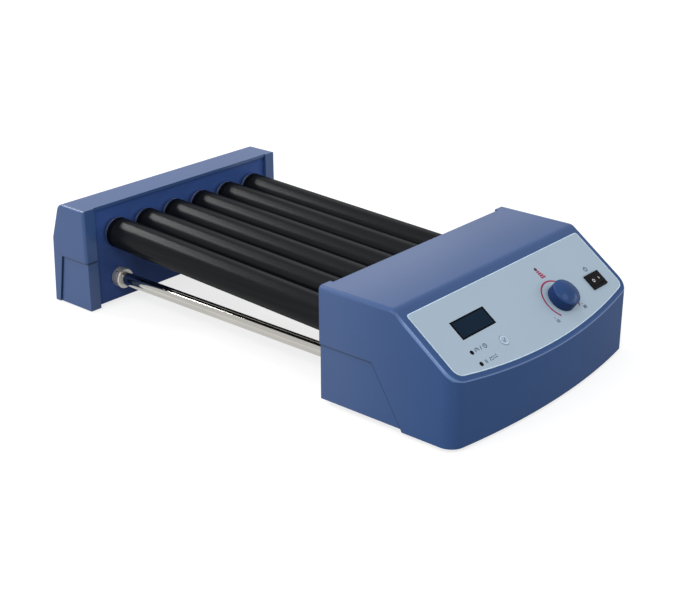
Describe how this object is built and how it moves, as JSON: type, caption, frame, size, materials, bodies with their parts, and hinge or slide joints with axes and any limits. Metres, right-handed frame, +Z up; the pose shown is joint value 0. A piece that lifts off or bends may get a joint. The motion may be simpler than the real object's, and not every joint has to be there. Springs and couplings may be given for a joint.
{
  "type": "roller mixer",
  "caption": "Bench roller mixer: a sloped control head and an end block joined by tie rods, with a row of driven rubber rollers that roll and rock sample tubes.",
  "frame": {"origin": "centre of the whole part's outline on the bench, between the rubber feet's soles", "axes": "X across the machine to the right of someone at the controls, +Y from the control head to the end block along the rollers, +Z up"},
  "size_m": [0.264, 0.502, 0.1075],
  "materials": {
    "housing_blue": "fine moulded texture",
    "knob_blue": "smooth satin",
    "panel_film": "fine matt film",
    "display_dark": "dark window",
    "black_plastic": "moulded",
    "black_rubber": "matt",
    "roller_rubber": "smooth satin",
    "polished_steel": "polished",
    "zinc_steel": "zinc plated",
    "bearing_steel": "ground",
    "plate_aluminium": "milled",
    "gear_plastic": "moulded acetal",
    "motor_metal": "plated",
    "board_green": "solder mask"
  },
  "bodies": {
    "housing": {"head_cover": "housing_blue", "head_base": "housing_blue", "head_panel": "housing_blue", "head_bearing_plate": "plate_aluminium", "head_bearings": "bearing_steel", "tail_cover": "housing_blue", "tail_base": "housing_blue", "tail_panel": "housing_blue", "tail_bearing_plate": "plate_aluminium", "tail_bearings": "bearing_steel", "tie_rods": "polished_steel", "rod_collars": "polished_steel", "collar_screws": "zinc_steel", "rod_nuts": "zinc_steel", "idler_pins": "zinc_steel", "gearmotor": "motor_metal", "motor_plate": "zinc_steel", "plate_standoffs": "zinc_steel", "motor_screws": "zinc_steel", "panel_overlay": "panel_film", "display_window": "display_dark", "display_module": "black_plastic", "control_board": "board_green", "board_screws": "zinc_steel", "indicator_lenses": "black_plastic", "speed_potentiometer": "motor_metal", "set_switch": "black_plastic", "power_switch_body": "black_plastic", "dc_inlet": "black_plastic", "case_screws": "zinc_steel", "head_feet": "black_rubber", "tail_feet": "black_rubber"},
    "roller_1": {"roller_1_sleeve": "roller_rubber", "roller_1_core": "bearing_steel", "roller_1_gear": "gear_plastic"},
    "roller_2": {"roller_2_sleeve": "roller_rubber", "roller_2_core": "bearing_steel", "roller_2_gear": "gear_plastic"},
    "roller_3": {"roller_3_sleeve": "roller_rubber", "roller_3_core": "bearing_steel", "roller_3_gear": "gear_plastic"},
    "roller_4": {"roller_4_sleeve": "roller_rubber", "roller_4_core": "bearing_steel", "roller_4_gear": "gear_plastic"},
    "roller_5": {"roller_5_sleeve": "roller_rubber", "roller_5_core": "bearing_steel", "roller_5_gear": "gear_plastic"},
    "roller_6": {"roller_6_sleeve": "roller_rubber", "roller_6_core": "bearing_steel", "roller_6_gear": "gear_plastic"},
    "idler_1": {"idler_gear_1": "gear_plastic"},
    "idler_2": {"idler_gear_2": "gear_plastic"},
    "idler_3": {"idler_gear_3": "gear_plastic"},
    "idler_4": {"idler_gear_4": "gear_plastic"},
    "idler_5": {"idler_gear_5": "gear_plastic"},
    "pinion": {"motor_pinion": "gear_plastic"},
    "speed_control": {"speed_knob": "knob_blue", "speed_shaft": "bearing_steel"},
    "set_key": {"set_button": "panel_film"},
    "power_switch": {"power_rocker": "black_plastic"}
  },
  "joints": [
    {"name": "roller_1_spin", "type": "hinge", "parent": "housing", "child": "roller_1", "pos_m": [-0.093, 0, 0.0676], "axis": [0, 1, 0], "continuous": true},
    {"name": "roller_2_spin", "type": "hinge", "parent": "housing", "child": "roller_2", "pos_m": [-0.0558, 0, 0.0676], "axis": [0, 1, 0], "continuous": true},
    {"name": "roller_3_spin", "type": "hinge", "parent": "housing", "child": "roller_3", "pos_m": [-0.0186, 0, 0.0676], "axis": [0, 1, 0], "continuous": true},
    {"name": "roller_4_spin", "type": "hinge", "parent": "housing", "child": "roller_4", "pos_m": [0.0186, 0, 0.0676], "axis": [0, 1, 0], "continuous": true},
    {"name": "roller_5_spin", "type": "hinge", "parent": "housing", "child": "roller_5", "pos_m": [0.0558, 0, 0.0676], "axis": [0, 1, 0], "continuous": true},
    {"name": "roller_6_spin", "type": "hinge", "parent": "housing", "child": "roller_6", "pos_m": [0.093, 0, 0.0676], "axis": [0, 1, 0], "continuous": true},
    {"name": "idler_1_spin", "type": "hinge", "parent": "housing", "child": "idler_1", "pos_m": [-0.0744, -0.122, 0.05494], "axis": [0, 1, 0], "continuous": true},
    {"name": "idler_2_spin", "type": "hinge", "parent": "housing", "child": "idler_2", "pos_m": [-0.0372, -0.122, 0.05494], "axis": [0, 1, 0], "continuous": true},
    {"name": "idler_3_spin", "type": "hinge", "parent": "housing", "child": "idler_3", "pos_m": [0, -0.122, 0.05494], "axis": [0, 1, 0], "continuous": true},
    {"name": "idler_4_spin", "type": "hinge", "parent": "housing", "child": "idler_4", "pos_m": [0.0372, -0.122, 0.05494], "axis": [0, 1, 0], "continuous": true},
    {"name": "idler_5_spin", "type": "hinge", "parent": "housing", "child": "idler_5", "pos_m": [0.0744, -0.122, 0.05494], "axis": [0, 1, 0], "continuous": true},
    {"name": "pinion_spin", "type": "hinge", "parent": "housing", "child": "pinion", "pos_m": [0, -0.122, 0.03544], "axis": [0, 1, 0], "continuous": true},
    {"name": "speed_turn", "type": "hinge", "parent": "housing", "child": "speed_control", "pos_m": [0.0404, -0.22411, 0.074], "axis": [0, 0.5878, -0.809], "range_deg": [0, 270]},
    {"name": "set_press", "type": "slide", "parent": "housing", "child": "set_key", "axis": [0, 0.5878, -0.809], "range_m": [0, 0.0008], "stiffness_N_per_m": 400, "springref_m": -0.001},
    {"name": "power_tilt", "type": "hinge", "parent": "housing", "child": "power_switch", "pos_m": [0.097, -0.22259, 0.07139], "axis": [0, 0.809, 0.5878], "range_deg": [0, 20]}
  ],
  "couplings": [
    {"joint": "roller_2_spin", "follows": "roller_1_spin", "ratio": 1},
    {"joint": "roller_3_spin", "follows": "roller_1_spin", "ratio": 1},
    {"joint": "roller_4_spin", "follows": "roller_1_spin", "ratio": 1},
    {"joint": "roller_5_spin", "follows": "roller_1_spin", "ratio": 1},
    {"joint": "roller_6_spin", "follows": "roller_1_spin", "ratio": 1},
    {"joint": "idler_1_spin", "follows": "roller_1_spin", "ratio": -1.1429},
    {"joint": "idler_2_spin", "follows": "roller_1_spin", "ratio": -1.1429},
    {"joint": "idler_3_spin", "follows": "roller_1_spin", "ratio": -1.1429},
    {"joint": "idler_4_spin", "follows": "roller_1_spin", "ratio": -1.1429},
    {"joint": "idler_5_spin", "follows": "roller_1_spin", "ratio": -1.1429},
    {"joint": "pinion_spin", "follows": "roller_1_spin", "ratio": 1.3333}
  ]
}
